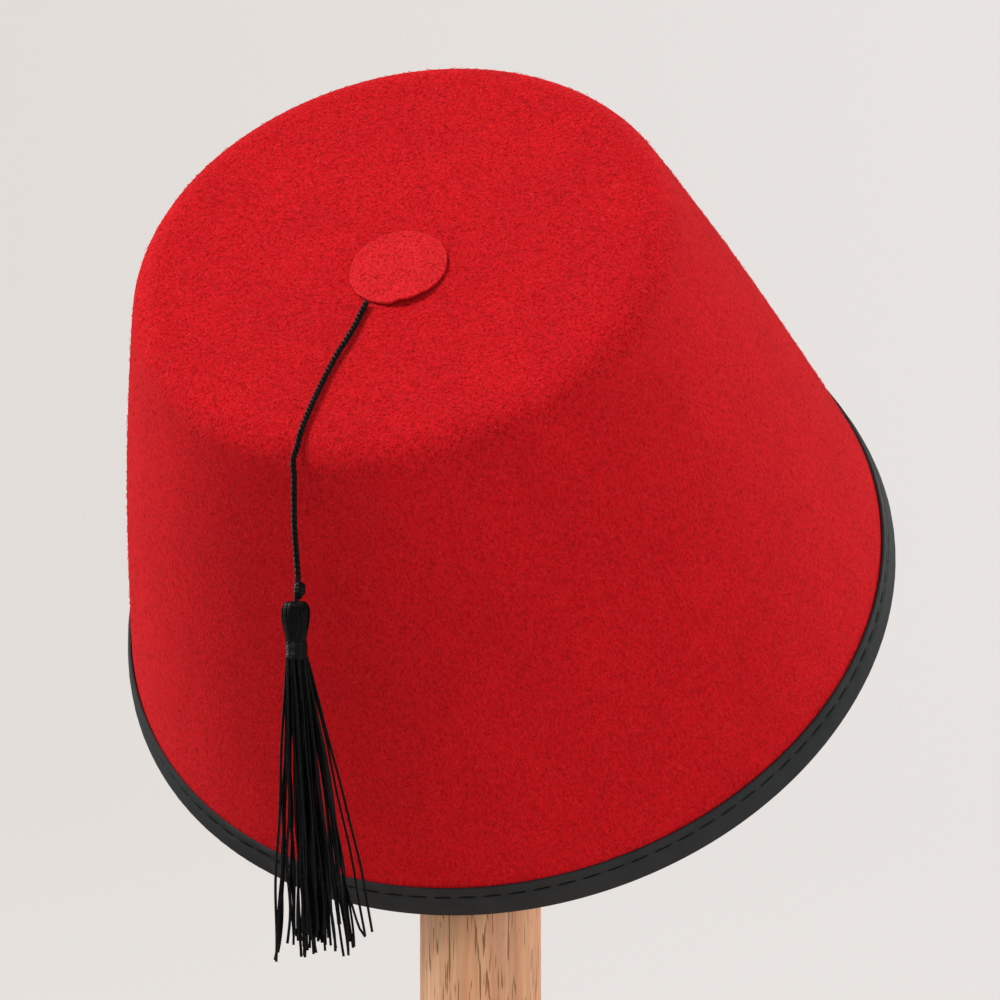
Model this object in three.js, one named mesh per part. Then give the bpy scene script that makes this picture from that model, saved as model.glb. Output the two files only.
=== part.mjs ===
// A red felt fez with a black tassel, hung on a plain round wooden stand.
// Millimetres, +Z up. The origin is the middle of the stand's underside, and the hat's
// front rim hangs low on the -Y side. Every piece is its own closed solid.
import * as THREE from 'three';

// ---- driving dimensions ----
const CLEARANCE = 0.3; // between touching pieces

const RIM_RADIUS = 91.8; // felt's outer surface, at the level of the rim's lower edge
const CROWN_RADIUS = 61.8; // where the side's line would meet the flat top
const HAT_HEIGHT = 126.5; // lower edge of the rim to the middle of the flat top
const CROWN_ROUNDING = 8.5; // radius of the soft edge between side and top
const SIDE_BOW = 1.15; // how far the side swells out halfway up
const TOP_SLANT = { x: 0.025, y: -0.072 }; // the top's rise for each mm to the right and back
const FELT = 2.5;

const TAPE = 0.8; // the binding tape's thickness
const TAPE_OUTSIDE = 8; // width seen outside
const TAPE_INSIDE = 7; // width turned under, inside the hat
const FOLD_ROUNDING = 0.7; // of the fold's two corners

const DISC_RADIUS = 11.2;
const DISC_THICKNESS = 1.0;
const DISC_SOFTENING = 0.3; // bevel of its upper edge
const DISC_PLACE = { x: 0.95, y: -5.75 }; // on the crown's top, from its middle

const HAT_TILT = THREE.MathUtils.degToRad(51.2); // forward, from upright
const HAT_LEAN = THREE.MathUtils.degToRad(14.6); // the low side turned towards -X
const RIM_CENTRE = { x: 6.85, y: 40, z: 201.45 };

const CORD_DIAMETER = 1.45;
const CORD_SIDES = 8;
const CORD_STEPS = 30;

const POST_RADIUS = 14;
const POST_TOP = 309.85;
const POST_ROUNDING = 1.5; // of its upper edge
const BASE_RADIUS = 75;
const BASE_THICKNESS = 18;
const BASE_ROUNDING = 3; // of its upper edge

const HAT_SEGMENTS = 72;
const STAND_SEGMENTS = 48;
const SMALL_SEGMENTS = 24;

// The cord's centre line: from the disc's edge, down the crown's top, over the soft edge
// between top and side, then hanging straight to the knot.
const CORD_ROUTE = [
  [-25.2, -66.4, 269.1],
  [-26.6, -68.7, 266.2],
  [-28.0, -71.1, 263.3],
  [-29.8, -73.7, 260.2],
  [-31.7, -76.1, 257.1],
  [-34.6, -80.7, 251.4],
  [-37.1, -85.7, 245.7],
  [-39.1, -89.9, 240.4],
  [-40.0, -91.0, 236.7],
  [-40.7, -91.1, 234.7],
  [-40.9, -91.1, 232.6],
  [-40.7, -91.1, 230.2],
  [-40.7, -91.1, 225.0],
  [-40.6, -91.1, 219.0],
  [-40.2, -91.1, 213.1],
  [-39.8, -91.1, 207.6],
];

// The tassel below the cord: the middle of each piece's top, in line under the cord's end.
const TASSEL_Y = -91.1;
const KNOT = { x: -39.6, top: 207.3, height: 4.4, radius: 1.35 };
const HEAD = { x: -40.2, top: 202.6, height: 8.3 };
const NECK = { x: -40.1, top: 194.0, height: 3.8, radius: 2.45 };
const SKIRT = { x: -39.9, top: 189.8, lean: THREE.MathUtils.degToRad(4.3) };

// The head's and the skirt's half widths at depths below their tops.
const HEAD_FORM = [
  { depth: 0, radius: 1.9 },
  { depth: 0.7, radius: 2.8 },
  { depth: 2.8, radius: 3.2 },
  { depth: 5.0, radius: 2.9 },
  { depth: HEAD.height, radius: 2.4 },
];
const SKIRT_FORM = [
  { depth: 0, radius: 2.4 },
  { depth: 8, radius: 3.9 },
  { depth: 17, radius: 5.2 },
  { depth: 31, radius: 7.3 },
  { depth: 44, radius: 8.3 },
  { depth: 65.3, radius: 8.6 },
];

// ---- materials ----
function matte(color, roughness) {
  return new THREE.MeshStandardMaterial({ color, roughness, metalness: 0 });
}
const feltRed = matte(0xb8141c, 0.95);
const discRed = matte(0xd8262e, 0.95);
const tapeBlack = matte(0x2d2e30, 0.45);
const threadBlack = matte(0x101011, 0.5);
const wood = matte(0xc08a64, 0.6);

// ---- outlines, as [radius, height] pairs turned about an upright axis ----

// Points round part of a circle about (r, h), between two angles in degrees.
function arc(r, h, radius, from, to, steps) {
  const points = [];
  for (let i = 0; i <= steps; i += 1) {
    const angle = THREE.MathUtils.degToRad(from + ((to - from) * i) / steps);
    points.push([r + radius * Math.cos(angle), h + radius * Math.sin(angle)]);
  }
  return points;
}

function turned(name, outline, segments, material) {
  const points = outline.map(([r, h]) => new THREE.Vector2(r, h));
  const mesh = new THREE.Mesh(new THREE.LatheGeometry(points, segments), material);
  mesh.name = name;
  mesh.rotation.x = Math.PI / 2; // a lathe turns about Y: stand it up along Z
  return mesh;
}

// A point on the hat's side: a distance up along the wall from the level of the rim's
// lower edge, and a depth out from the felt's outer surface.
const SLOPE = Math.atan2(RIM_RADIUS - CROWN_RADIUS, HAT_HEIGHT);

function onWall(along, depth) {
  const out = depth + SIDE_BOW * Math.sin((Math.PI * along) / HAT_HEIGHT);
  return [
    RIM_RADIUS - along * Math.sin(SLOPE) + out * Math.cos(SLOPE),
    along * Math.cos(SLOPE) + out * Math.sin(SLOPE),
  ];
}

// Slants the top of a plain upright piece of the hat; the rim stays level.
function slanted(mesh) {
  mesh.updateMatrix();
  mesh.geometry.applyMatrix4(mesh.matrix);
  mesh.position.set(0, 0, 0);
  mesh.rotation.set(0, 0, 0);
  const places = mesh.geometry.attributes.position;
  for (let i = 0; i < places.count; i += 1) {
    const share = THREE.MathUtils.clamp(places.getZ(i) / HAT_HEIGHT, 0, 1);
    const rise = TOP_SLANT.x * places.getX(i) + TOP_SLANT.y * places.getY(i);
    places.setZ(i, places.getZ(i) + rise * share);
  }
  return mesh;
}

// ---- felt crown: one moulded shell, side and top together ----
function feltCrown() {
  const halfCorner = (Math.PI / 2 + SLOPE) / 2; // half the angle between the side and the top
  const reach = CROWN_ROUNDING / Math.tan(halfCorner); // from the sharp corner to the rounding
  const sideLength = HAT_HEIGHT / Math.cos(SLOPE) - reach;
  const cutEdge = TAPE + CLEARANCE;
  const sideRows = 6;

  function surface(depth, cornerSteps) {
    const points = [];
    for (let i = 0; i < sideRows; i += 1) {
      points.push(onWall(cutEdge + ((sideLength - cutEdge) * i) / sideRows, depth));
    }
    const middle = [CROWN_RADIUS - reach, HAT_HEIGHT - CROWN_ROUNDING];
    const slopeDegrees = THREE.MathUtils.radToDeg(SLOPE);
    points.push(...arc(...middle, CROWN_ROUNDING + depth, slopeDegrees, 90, cornerSteps));
    points.push([0, HAT_HEIGHT + depth]);
    return points;
  }

  const outline = [...surface(-FELT, 5).reverse(), ...surface(0, 6)];
  return turned('felt_crown', outline, HAT_SEGMENTS, feltRed);
}

// ---- rim binding: tape folded over the felt's cut edge and sewn through ----
function rimBinding() {
  const outFace = CLEARANCE + TAPE;
  const inFace = -FELT - CLEARANCE - TAPE;
  const corner = FOLD_ROUNDING * (1 - Math.SQRT1_2); // the rounding's middle, in from its corner
  const outline = [
    onWall(TAPE, CLEARANCE),
    onWall(TAPE, -FELT - CLEARANCE),
    onWall(TAPE_INSIDE, -FELT - CLEARANCE),
    onWall(TAPE_INSIDE, inFace),
    onWall(FOLD_ROUNDING, inFace),
    onWall(corner, inFace + corner),
    onWall(0, inFace + FOLD_ROUNDING),
    onWall(0, outFace - FOLD_ROUNDING),
    onWall(corner, outFace - corner),
    onWall(FOLD_ROUNDING, outFace),
    onWall(TAPE_OUTSIDE, outFace),
    onWall(TAPE_OUTSIDE, CLEARANCE),
    onWall(TAPE, CLEARANCE),
  ];
  return turned('rim_binding', outline, HAT_SEGMENTS, tapeBlack);
}

// ---- button disc: a small felt disc over the cord's fixing ----
function buttonDisc() {
  const outline = [
    [0, 0],
    [DISC_RADIUS, 0],
    [DISC_RADIUS, DISC_THICKNESS - DISC_SOFTENING],
    [DISC_RADIUS - DISC_SOFTENING, DISC_THICKNESS],
    [0, DISC_THICKNESS],
  ];
  const disc = turned('button_disc', outline, STAND_SEGMENTS, discRed);
  disc.position.set(DISC_PLACE.x, DISC_PLACE.y, HAT_HEIGHT + CLEARANCE);
  return disc;
}

// ---- tassel cord: a limp twisted cord, as a plain tube of its outer size ----
function tasselCord() {
  const route = new THREE.CatmullRomCurve3(CORD_ROUTE.map((point) => new THREE.Vector3(...point)));
  const section = new THREE.Shape();
  for (let i = 0; i < CORD_SIDES; i += 1) {
    const angle = (2 * Math.PI * i) / CORD_SIDES;
    const corner = [Math.cos(angle), Math.sin(angle)].map((part) => (part * CORD_DIAMETER) / 2);
    if (i === 0) section.moveTo(...corner);
    else section.lineTo(...corner);
  }
  const tube = new THREE.ExtrudeGeometry(section, { extrudePath: route, steps: CORD_STEPS, curveSegments: 1 });
  const cord = new THREE.Mesh(tube, threadBlack);
  cord.name = 'tassel_cord';
  return cord;
}

// ---- tassel: knot, bound head, neck winding and skirt of loose strands ----
function hung(name, place, form, material = threadBlack) {
  const ends = [[0, -form.at(-1).depth], [0, -form[0].depth]];
  const sides = form.map((row) => [row.radius, -row.depth]).reverse();
  const piece = turned(name, [ends[0], ...sides, ends[1]], SMALL_SEGMENTS, material);
  piece.position.set(place.x, TASSEL_Y, place.top);
  return piece;
}

// A short winding or knot with rounded upper and lower edges.
function roundedForm(height, radius) {
  const edge = radius * 0.35;
  return [
    { depth: 0, radius: radius - edge },
    { depth: edge, radius },
    { depth: height - edge, radius },
    { depth: height, radius: radius - edge },
  ];
}

function tasselSkirt() {
  const skirt = new THREE.Group();
  const strands = hung('tassel_skirt', SKIRT, SKIRT_FORM);
  skirt.position.copy(strands.position);
  skirt.rotation.y = -SKIRT.lean; // the strands drift towards +X on the way down
  strands.position.set(0, 0, 0);
  skirt.add(strands);
  return skirt;
}

// ---- stand: a round post let into a turned base ----
function standPost() {
  const outline = [
    [0, BASE_THICKNESS + CLEARANCE],
    [POST_RADIUS, BASE_THICKNESS + CLEARANCE],
    ...arc(POST_RADIUS - POST_ROUNDING, POST_TOP - POST_ROUNDING, POST_ROUNDING, 0, 90, 3),
    [0, POST_TOP],
  ];
  return turned('stand_post', outline, STAND_SEGMENTS, wood);
}

function standBase() {
  const outline = [
    [0, 0],
    [BASE_RADIUS, 0],
    ...arc(BASE_RADIUS - BASE_ROUNDING, BASE_THICKNESS - BASE_ROUNDING, BASE_ROUNDING, 0, 90, 3),
    [0, BASE_THICKNESS],
  ];
  return turned('stand_base', outline, STAND_SEGMENTS, wood);
}

const hat = new THREE.Group();
hat.add(slanted(feltCrown()), slanted(rimBinding()), slanted(buttonDisc()));
hat.rotation.set(HAT_TILT, 0, -HAT_LEAN, 'ZYX');
hat.position.copy(RIM_CENTRE);

const hatOnStand = new THREE.Group();
hatOnStand.add(
  hat,
  tasselCord(),
  hung('tassel_knot', KNOT, roundedForm(KNOT.height, KNOT.radius)),
  hung('tassel_head', HEAD, HEAD_FORM),
  hung('tassel_neck', NECK, roundedForm(NECK.height, NECK.radius)),
  tasselSkirt(),
  standPost(),
  standBase(),
);

export default hatOnStand;
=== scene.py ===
import math
import random

import bmesh
import bpy
from mathutils import Matrix, Vector, noise


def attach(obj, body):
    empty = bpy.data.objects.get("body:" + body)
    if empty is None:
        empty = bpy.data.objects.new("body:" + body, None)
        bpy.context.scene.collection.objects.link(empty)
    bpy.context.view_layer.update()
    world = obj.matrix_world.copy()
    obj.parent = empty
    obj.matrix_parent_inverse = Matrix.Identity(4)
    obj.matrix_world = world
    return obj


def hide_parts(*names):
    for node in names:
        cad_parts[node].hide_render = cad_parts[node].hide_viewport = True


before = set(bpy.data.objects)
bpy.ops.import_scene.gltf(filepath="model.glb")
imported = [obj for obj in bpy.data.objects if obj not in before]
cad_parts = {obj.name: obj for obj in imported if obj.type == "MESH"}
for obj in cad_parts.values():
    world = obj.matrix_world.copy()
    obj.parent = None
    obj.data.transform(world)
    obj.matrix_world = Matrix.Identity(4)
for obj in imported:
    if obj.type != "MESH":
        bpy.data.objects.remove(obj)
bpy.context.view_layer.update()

MM = 0.001

# ---- View ----
# A long portrait lens stands level with the lower hat and looks straight at it, so the
# hat keeps its true proportions and the post runs out of the bottom of the frame.
CAMERA_PLACE = (0.0045, -1.759, 0.225)
LENS = 273.6
SENSOR = 36

camera_data = bpy.data.cameras.new("camera")
camera_data.lens = LENS
camera_data.sensor_width = SENSOR
camera_data.clip_end = 60
camera = bpy.data.objects.new("camera", camera_data)
camera.location = CAMERA_PLACE
camera.rotation_euler = (math.pi / 2, 0, 0)
bpy.context.scene.collection.objects.link(camera)
bpy.context.scene.camera = camera
bpy.context.scene.view_settings.view_transform = "Standard"


# ---- Tassel cord ----
# A limp black cord of three rayon plies twisted together. It comes out from under the
# button disc, lies down the crown's top, bends over its soft edge and hangs to the knot.
CORD_DIAMETER = 1.45 * MM
CORD_PLIES = 3
CORD_TWIST = 3.7 * MM  # length of one full turn of the plies, which is left-handed
STEPS_PER_TWIST = 14
PLY_OFFSET = 0.536  # of three touching round plies, as a share of the cord's radius
CORD_ROUTE = [
    (-25.2, -66.4, 269.1),
    (-26.6, -68.7, 266.2),
    (-28.0, -71.1, 263.3),
    (-29.8, -73.7, 260.2),
    (-31.7, -76.1, 257.1),
    (-34.6, -80.7, 251.4),
    (-37.1, -85.7, 245.7),
    (-39.1, -89.9, 240.4),
    (-40.0, -91.0, 236.7),
    (-40.7, -91.1, 234.7),
    (-40.9, -91.1, 232.6),
    (-40.7, -91.1, 230.2),
    (-40.7, -91.1, 225.0),
    (-40.6, -91.1, 219.0),
    (-40.2, -91.1, 213.1),
    (-39.8, -91.1, 207.6),
]


def smooth_line(points, steps):
    """A smooth line through the points, with so many steps between each two."""
    points = [Vector(point) for point in points]
    ends = [2 * points[0] - points[1], *points, 2 * points[-1] - points[-2]]
    line = []
    for before, start, end, after in zip(ends, ends[1:], ends[2:], ends[3:]):
        for step in range(steps):
            t = step / steps
            line.append(
                start
                + (end - before) * (t / 2)
                + (2 * before - 5 * start + 4 * end - after) * (t * t / 2)
                + (3 * start - before - 3 * end + after) * (t**3 / 2)
            )
    return [*line, points[-1]]


def evenly_spaced(line, step):
    """Points along the line, each so far from the last."""
    lengths = [(b - a).length for a, b in zip(line, line[1:])]
    count = max(2, round(sum(lengths) / step))
    spacing = sum(lengths) / count
    placed, walked, k = [line[0].copy()], 0.0, 0
    for i in range(1, count):
        while walked + lengths[k] < i * spacing:
            walked += lengths[k]
            k += 1
        placed.append(line[k].lerp(line[k + 1], (i * spacing - walked) / lengths[k]))
    return [*placed, line[-1].copy()]


def wound_round(line, radius, turn_length, start):
    """A line that winds left-handed round another, a turn for each turn_length."""
    wound, walked = [], 0.0
    side = (line[1] - line[0]).orthogonal().normalized()
    for i, point in enumerate(line):
        ahead = line[min(i + 1, len(line) - 1)] - line[max(i - 1, 0)]
        ahead.normalize()
        side = (side - ahead * side.dot(ahead)).normalized()
        if i:
            walked += (point - line[i - 1]).length
        angle = start + math.tau * walked / turn_length
        turned = side * math.cos(angle) - ahead.cross(side) * math.sin(angle)
        wound.append(point + turned * radius)
    return wound


def yarn(name, lines, radius, sides_level):
    """Round yarns along the lines, as one mesh with a UV map that runs along each."""
    curve = bpy.data.curves.new(name, "CURVE")
    curve.dimensions = "3D"
    curve.bevel_depth = radius
    curve.bevel_resolution = sides_level
    curve.use_fill_caps = True
    for line in lines:
        spline = curve.splines.new("POLY")
        spline.points.add(len(line) - 1)
        for point, place in zip(spline.points, line):
            point.co = (*place, 1)
    drawn = bpy.data.objects.new(name + "_line", curve)
    mesh = bpy.data.meshes.new_from_object(drawn)
    bpy.data.objects.remove(drawn)
    bpy.data.curves.remove(curve)
    return mesh


def add_piece(name, mesh, material, replaced=()):
    """Puts a finished mesh in the scene as a piece of the object."""
    mesh.name = name
    mesh.materials.clear()
    mesh.materials.append(material)
    piece = bpy.data.objects.new(name, mesh)
    bpy.context.scene.collection.objects.link(piece)
    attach(piece, "root")
    if replaced:
        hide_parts(*replaced)
    return piece


def add_node(tree, kind, inputs=None, **settings):
    """Adds a node. Each input is a plain value or the socket that feeds it."""
    made = tree.nodes.new(kind)
    for name, value in settings.items():
        setattr(made, name, value)
    for name, value in (inputs or {}).items():
        if isinstance(value, bpy.types.NodeSocket):
            tree.links.new(value, made.inputs[name])
        else:
            made.inputs[name].default_value = value
    return made


def maths(tree, operation, *values):
    """The output of a maths node on up to three values or sockets."""
    return add_node(tree, "ShaderNodeMath", dict(enumerate(values)), operation=operation).outputs[0]


def vector_maths(tree, operation, first, second):
    """A vector maths node on two vectors or sockets."""
    return add_node(tree, "ShaderNodeVectorMath", {0: first, 1: second}, operation=operation)


def place_on_piece(tree):
    """The place of a point on its piece, in metres."""
    return add_node(tree, "ShaderNodeTexCoord").outputs["Object"]


def texture(tree, place, scale, **shaping):
    """The grey output of a noise texture with so many waves to the metre."""
    values = {"Vector": place, "Scale": scale, **shaping}
    return add_node(tree, "ShaderNodeTexNoise", values).outputs["Fac"]


def spread_over(tree, value, low, high, to_low, to_high, **settings):
    """A value's range from low to high mapped to another range, held at its ends."""
    values = {"Value": value, "From Min": low, "From Max": high, "To Min": to_low, "To Max": to_high}
    return add_node(tree, "ShaderNodeMapRange", values, **settings).outputs["Result"]


def mixed(tree, factor, first, second, blend="MIX"):
    """The colour output of a mix of two colours."""
    values = {0: factor, 6: first, 7: second}
    return add_node(tree, "ShaderNodeMix", values, data_type="RGBA", blend_type=blend).outputs[2]


def ramp(tree, factor, stops):
    """The colour output of a ramp with stops of (position, grey value)."""
    made = add_node(tree, "ShaderNodeValToRGB", {"Fac": factor})
    elements = made.color_ramp.elements
    while len(elements) < len(stops):
        elements.new(0.5)
    for element, (position, grey) in zip(elements, stops):
        element.position = position
        element.color = (grey, grey, grey, 1)
    return made.outputs["Color"]


def start_group(name, inputs, outputs):
    """An empty shader group. inputs has rows of (name, kind, default), outputs (name, kind)."""
    group = bpy.data.node_groups.new(name, "ShaderNodeTree")
    for label, kind, default in inputs:
        socket = group.interface.new_socket(label, in_out="INPUT", socket_type="NodeSocket" + kind)
        if default is not None:
            socket.default_value = default
    for label, kind in outputs:
        group.interface.new_socket(label, in_out="OUTPUT", socket_type="NodeSocket" + kind)
    entry = group.nodes.new("NodeGroupInput").outputs
    leave = group.nodes.new("NodeGroupOutput").inputs
    return group, entry, leave


def start_material(name, **shader_values):
    """A material with a Principled shader; the values go on the shader's own sockets."""
    material = bpy.data.materials.new(name)
    material.use_nodes = True
    shader = material.node_tree.nodes["Principled BSDF"]
    for label, value in shader_values.items():
        shader.inputs[label.replace("_", " ")].default_value = value
    return material, material.node_tree, shader


def add_group(tree, group, inputs):
    """The outputs of a node of the shader group."""
    return add_node(tree, "ShaderNodeGroup", inputs, node_tree=group).outputs


def link_all(tree, sockets, targets):
    """Feeds each named target from its socket."""
    for name, socket in sockets.items():
        tree.links.new(socket, targets[name])


def bump(tree, shader, height, distance, strength=1.0):
    """Feeds a height to the shader's normal; distance is the relief's depth in metres."""
    made = add_node(tree, "ShaderNodeBump", {"Height": height, "Distance": distance, "Strength": strength})
    tree.links.new(made.outputs["Normal"], shader.inputs["Normal"])


# The look of spun rayon: fine filaments run slantwise round the yarn, and its gloss breaks
# up into short glints. Some filaments are painted paler, a painted sheen in the base colour.
filament_look, given, made = start_group(
    "spun_filaments",
    [
        ("Across", "Float", 14.0),
        ("Along", "Float", 90.0),
        ("Slant", "Float", 1.0),
        ("Colour", "Color", (0.0035, 0.0035, 0.0035, 1)),
        # a paler grey-green for some filaments: a painted sheen
        ("Painted sheen", "Color", (0.02, 0.021, 0.02, 1)),
    ],
    [("Colour", "Color"), ("Roughness", "Float"), ("Height", "Float")],
)
wrap = add_node(filament_look, "ShaderNodeUVMap")
split = add_node(filament_look, "ShaderNodeSeparateXYZ", {0: wrap.outputs["UV"]})
leaned = maths(filament_look, "MULTIPLY_ADD", split.outputs["X"], given["Slant"], split.outputs["Y"])
across = maths(filament_look, "MULTIPLY", leaned, given["Across"])
along = maths(filament_look, "MULTIPLY", split.outputs["X"], given["Along"])
laid = add_node(filament_look, "ShaderNodeCombineXYZ", {"X": across, "Y": along})
filaments = texture(filament_look, laid.outputs[0], 1.0, Detail=3.0, Roughness=0.6)
fluff = texture(filament_look, place_on_piece(filament_look), 1400.0, Detail=2.0)
# painted sheen: stripes along the filaments get a paler grey-green in place of the yarn's black
pale = ramp(filament_look, filaments, [(0.55, 0.0), (0.72, 1.0)])
yarn_colour = mixed(filament_look, pale, given["Colour"], given["Painted sheen"])
yarn_gloss = spread_over(filament_look, fluff, 0.3, 0.7, 0.24, 0.44)
link_all(filament_look, {"Colour": yarn_colour, "Roughness": yarn_gloss, "Height": filaments}, made)


def rayon(name, across, along, slant, relief, gloss):
    """Black rayon yarn; relief is the depth of its filaments in metres."""
    material, tree, shader = start_material(name, Specular_IOR_Level=gloss)
    look = add_group(tree, filament_look, {"Across": across, "Along": along, "Slant": slant})
    link_all(tree, {"Base Color": look["Colour"], "Roughness": look["Roughness"]}, shader.inputs)
    bump(tree, shader, look["Height"], relief)
    return material


cord_line = evenly_spaced(
    smooth_line([Vector(point) * MM for point in CORD_ROUTE], 8), CORD_TWIST / STEPS_PER_TWIST
)
plies = [
    wound_round(cord_line, CORD_DIAMETER / 2 * PLY_OFFSET, CORD_TWIST, math.tau * ply / CORD_PLIES)
    for ply in range(CORD_PLIES)
]
cord_rayon = rayon("cord_rayon", across=9.0, along=60.0, slant=6.0, relief=0.05 * MM, gloss=0.1)
cord = add_piece(
    "tassel_cord_twist",
    yarn("plies", plies, CORD_DIAMETER / 2 * (1 - PLY_OFFSET), 2),
    cord_rayon,
    ["tassel_cord"],
)


# ---- Tassel knot ----
# The cord's end is tied round itself just above the tassel. Its tight turns make one
# small oval lump on the cord's right side, and the end runs on down into the head.
KNOT_MIDDLE = Vector((-39.6, -91.2, 205.25)) * MM
KNOT_YARN_RADIUS = 0.6 * MM
KNOT_STEPS = 44
KNOT_WRAPS = {"turns": 2.3, "radius": 0.78, "right": 0.12, "up": 0.05, "rise": 0.14, "drop": 1.7}  # mm
KNOT_BODY = {"radius": 1.16, "half_height": 2.1, "rows": 16}  # mm
KNOT_FIRST_ANGLE = -0.6
KNOT_ROUTE = [(-39.8, -91.1, 208.3), (-40.0, -91.1, 206.7), (-40.1, -91.2, 205.1), (-40.1, -91.1, 201.9)]
CORE_STEPS = 24


def in_order(bm):
    """Sorts the faces, which spin makes in a new order each run."""
    bm.verts.index_update()
    ordered = sorted(bm.faces, key=lambda face: sorted(vert.index for vert in face.verts))
    numbers = {face: number for number, face in enumerate(ordered)}
    bm.faces.sort(key=lambda face: numbers[face])
    bm.faces.ensure_lookup_table()
    return bm


def spun(outline, steps, closed=True):
    """A bmesh spun about the upright axis from an outline of (radius, height) in mm."""
    bm = bmesh.new()
    corners = [bm.verts.new((radius * MM, 0, height * MM)) for radius, height in outline]
    edges = [bm.edges.new(pair) for pair in zip(corners, corners[1:])]
    if closed:
        edges.append(bm.edges.new((corners[-1], corners[0])))
    turn = {"cent": (0, 0, 0), "axis": (0, 0, 1), "angle": math.tau}
    bmesh.ops.spin(bm, geom=corners + edges, steps=steps, use_merge=True, **turn)
    bmesh.ops.remove_doubles(bm, verts=bm.verts, dist=1e-6)
    bmesh.ops.recalc_face_normals(bm, faces=bm.faces)
    return in_order(bm)


def yarn_core(rows, middle):
    """A closed turned solid inside the yarns, from rows of (depth, radius) in mm."""
    outline = [(radius, -depth) for depth, radius in rows]
    bm = spun([(0, outline[0][1]), *outline, (0, outline[-1][1])], CORE_STEPS, closed=False)
    bmesh.ops.translate(bm, verts=bm.verts, vec=middle)
    return to_mesh(bm)


def joined(*meshes):
    """One mesh of several."""
    bm = bmesh.new()
    for mesh in meshes:
        bm.from_mesh(mesh)
    whole = bpy.data.meshes.new("joined")
    bm.to_mesh(whole)
    bm.free()
    return whole


def to_mesh(bm, sharp_degrees=None):
    """A smooth-shaded mesh of the bmesh, sharp at edges over an angle if one is given."""
    mesh = bpy.data.meshes.new("made")
    in_order(bm).to_mesh(mesh)
    bm.free()
    mesh.shade_smooth()
    if sharp_degrees:
        mesh.set_sharp_from_angle(angle=math.radians(sharp_degrees))
    return mesh


def knot_turns(row):
    turns = []
    for step in range(KNOT_STEPS + 1):
        share = step / KNOT_STEPS
        angle = math.tau * row["turns"] * share + KNOT_FIRST_ANGLE
        x = row["right"] + row["radius"] * math.cos(angle)
        z = row["up"] + row["drop"] * (0.5 - share) + row["rise"] * math.cos(angle)
        turns.append(KNOT_MIDDLE + Vector((x, row["radius"] * math.sin(angle), z)) * MM)
    return turns


knot_lines = [knot_turns(KNOT_WRAPS), [point * MM for point in smooth_line(KNOT_ROUTE, 6)]]
knot_angles = [math.pi * i / KNOT_BODY["rows"] for i in range(1, KNOT_BODY["rows"])]
knot_rows = [
    (-KNOT_BODY["half_height"] * math.cos(angle), KNOT_BODY["radius"] * math.sin(angle))
    for angle in knot_angles
]
knot = add_piece(
    "tassel_knot_wraps",
    joined(yarn("knot", knot_lines, KNOT_YARN_RADIUS, 2), yarn_core(knot_rows, KNOT_MIDDLE)),
    rayon("knot_rayon", across=9.0, along=30.0, slant=3.0, relief=0.05 * MM, gloss=0.1),
    ["tassel_knot"],
)


# ---- Tassel head ----
# The skirt's yarns start here: they are folded over the cord's end and come down all
# round as a small bulb, which the neck's winding pulls in.
TASSEL_Y = -91.1 * MM
HEAD_TOP = Vector((-40.3 * MM, TASSEL_Y, 203.0 * MM))
HEAD_YARNS = 46
HEAD_YARN_RADIUS = 0.25 * MM
HEAD_SCATTER = 0.45  # of the yarns' spacing
HEAD_FULLNESS = (0.92, 1.05)
HEAD_DRIFT = 0.3  # radians
HEAD_CORE = {"lower": 0.1, "fuller": 0.03}  # mm, than the middles of the yarns
HEAD_FORM = [  # depth below the top and distance from the axis of a yarn's middle
    {"depth": 0.95, "radius": 0.5},
    {"depth": 0.45, "radius": 1.3},
    {"depth": 0.6, "radius": 2.15},
    {"depth": 1.7, "radius": 2.78},
    {"depth": 3.8, "radius": 2.91},
    {"depth": 5.9, "radius": 2.6},
    {"depth": 7.8, "radius": 2.16},
    {"depth": 9.9, "radius": 2.02},
]


def around(middle, angle, radius, drop):
    """A point at an angle and radius about an upright axis, so far below its top."""
    return middle + Vector((radius * math.cos(angle), radius * math.sin(angle), -drop))


def folded_yarns():
    shuffle = random.Random(11)
    yarns = []
    for i in range(HEAD_YARNS):
        angle = math.tau * (i + shuffle.uniform(-HEAD_SCATTER, HEAD_SCATTER)) / HEAD_YARNS
        fullness = shuffle.uniform(*HEAD_FULLNESS)
        drift = shuffle.uniform(-HEAD_DRIFT, HEAD_DRIFT)
        points = []
        for row in HEAD_FORM:
            drifted = angle + drift * row["depth"] / 8
            points.append(around(HEAD_TOP, drifted, row["radius"] * fullness * MM, row["depth"] * MM))
        yarns.append(smooth_line(points, 4))
    return yarns


head_rows = [
    (row["depth"] + HEAD_CORE["lower"], row["radius"] + HEAD_CORE["fuller"]) for row in HEAD_FORM[1:]
]
strand_rayon = rayon("strand_rayon", across=7.0, along=110.0, slant=8.0, relief=0.04 * MM, gloss=0.07)
head_rayon = rayon("head_rayon", across=5.0, along=50.0, slant=5.0, relief=0.02 * MM, gloss=0.07)
head = add_piece(
    "tassel_head_yarns",
    joined(yarn("head", folded_yarns(), HEAD_YARN_RADIUS, 1), yarn_core(head_rows, HEAD_TOP)),
    head_rayon,
    ["tassel_head"],
)


# ---- Tassel neck ----
# One thinner thread is wound tightly round the yarns below the head, crosses back over
# its own turns once, and is cut short.
NECK_TOP = Vector((-40.1 * MM, TASSEL_Y, 194.0 * MM))
NECK_RADIUS = 2.1 * MM
NECK_FULLNESS = 0.14 * MM  # more at half its height
NECK_THREAD = 0.19 * MM
NECK_TURNS = 11
NECK_START = 0.15 * MM
NECK_HEIGHT = 3.7 * MM
NECK_STEPS = 26  # on each turn
NECK_WANDER = 0.06 * MM
NECK_CROSSING = {"starts": 0.5, "drops": 2.8, "from": -150, "round": 120}  # mm and degrees


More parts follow.
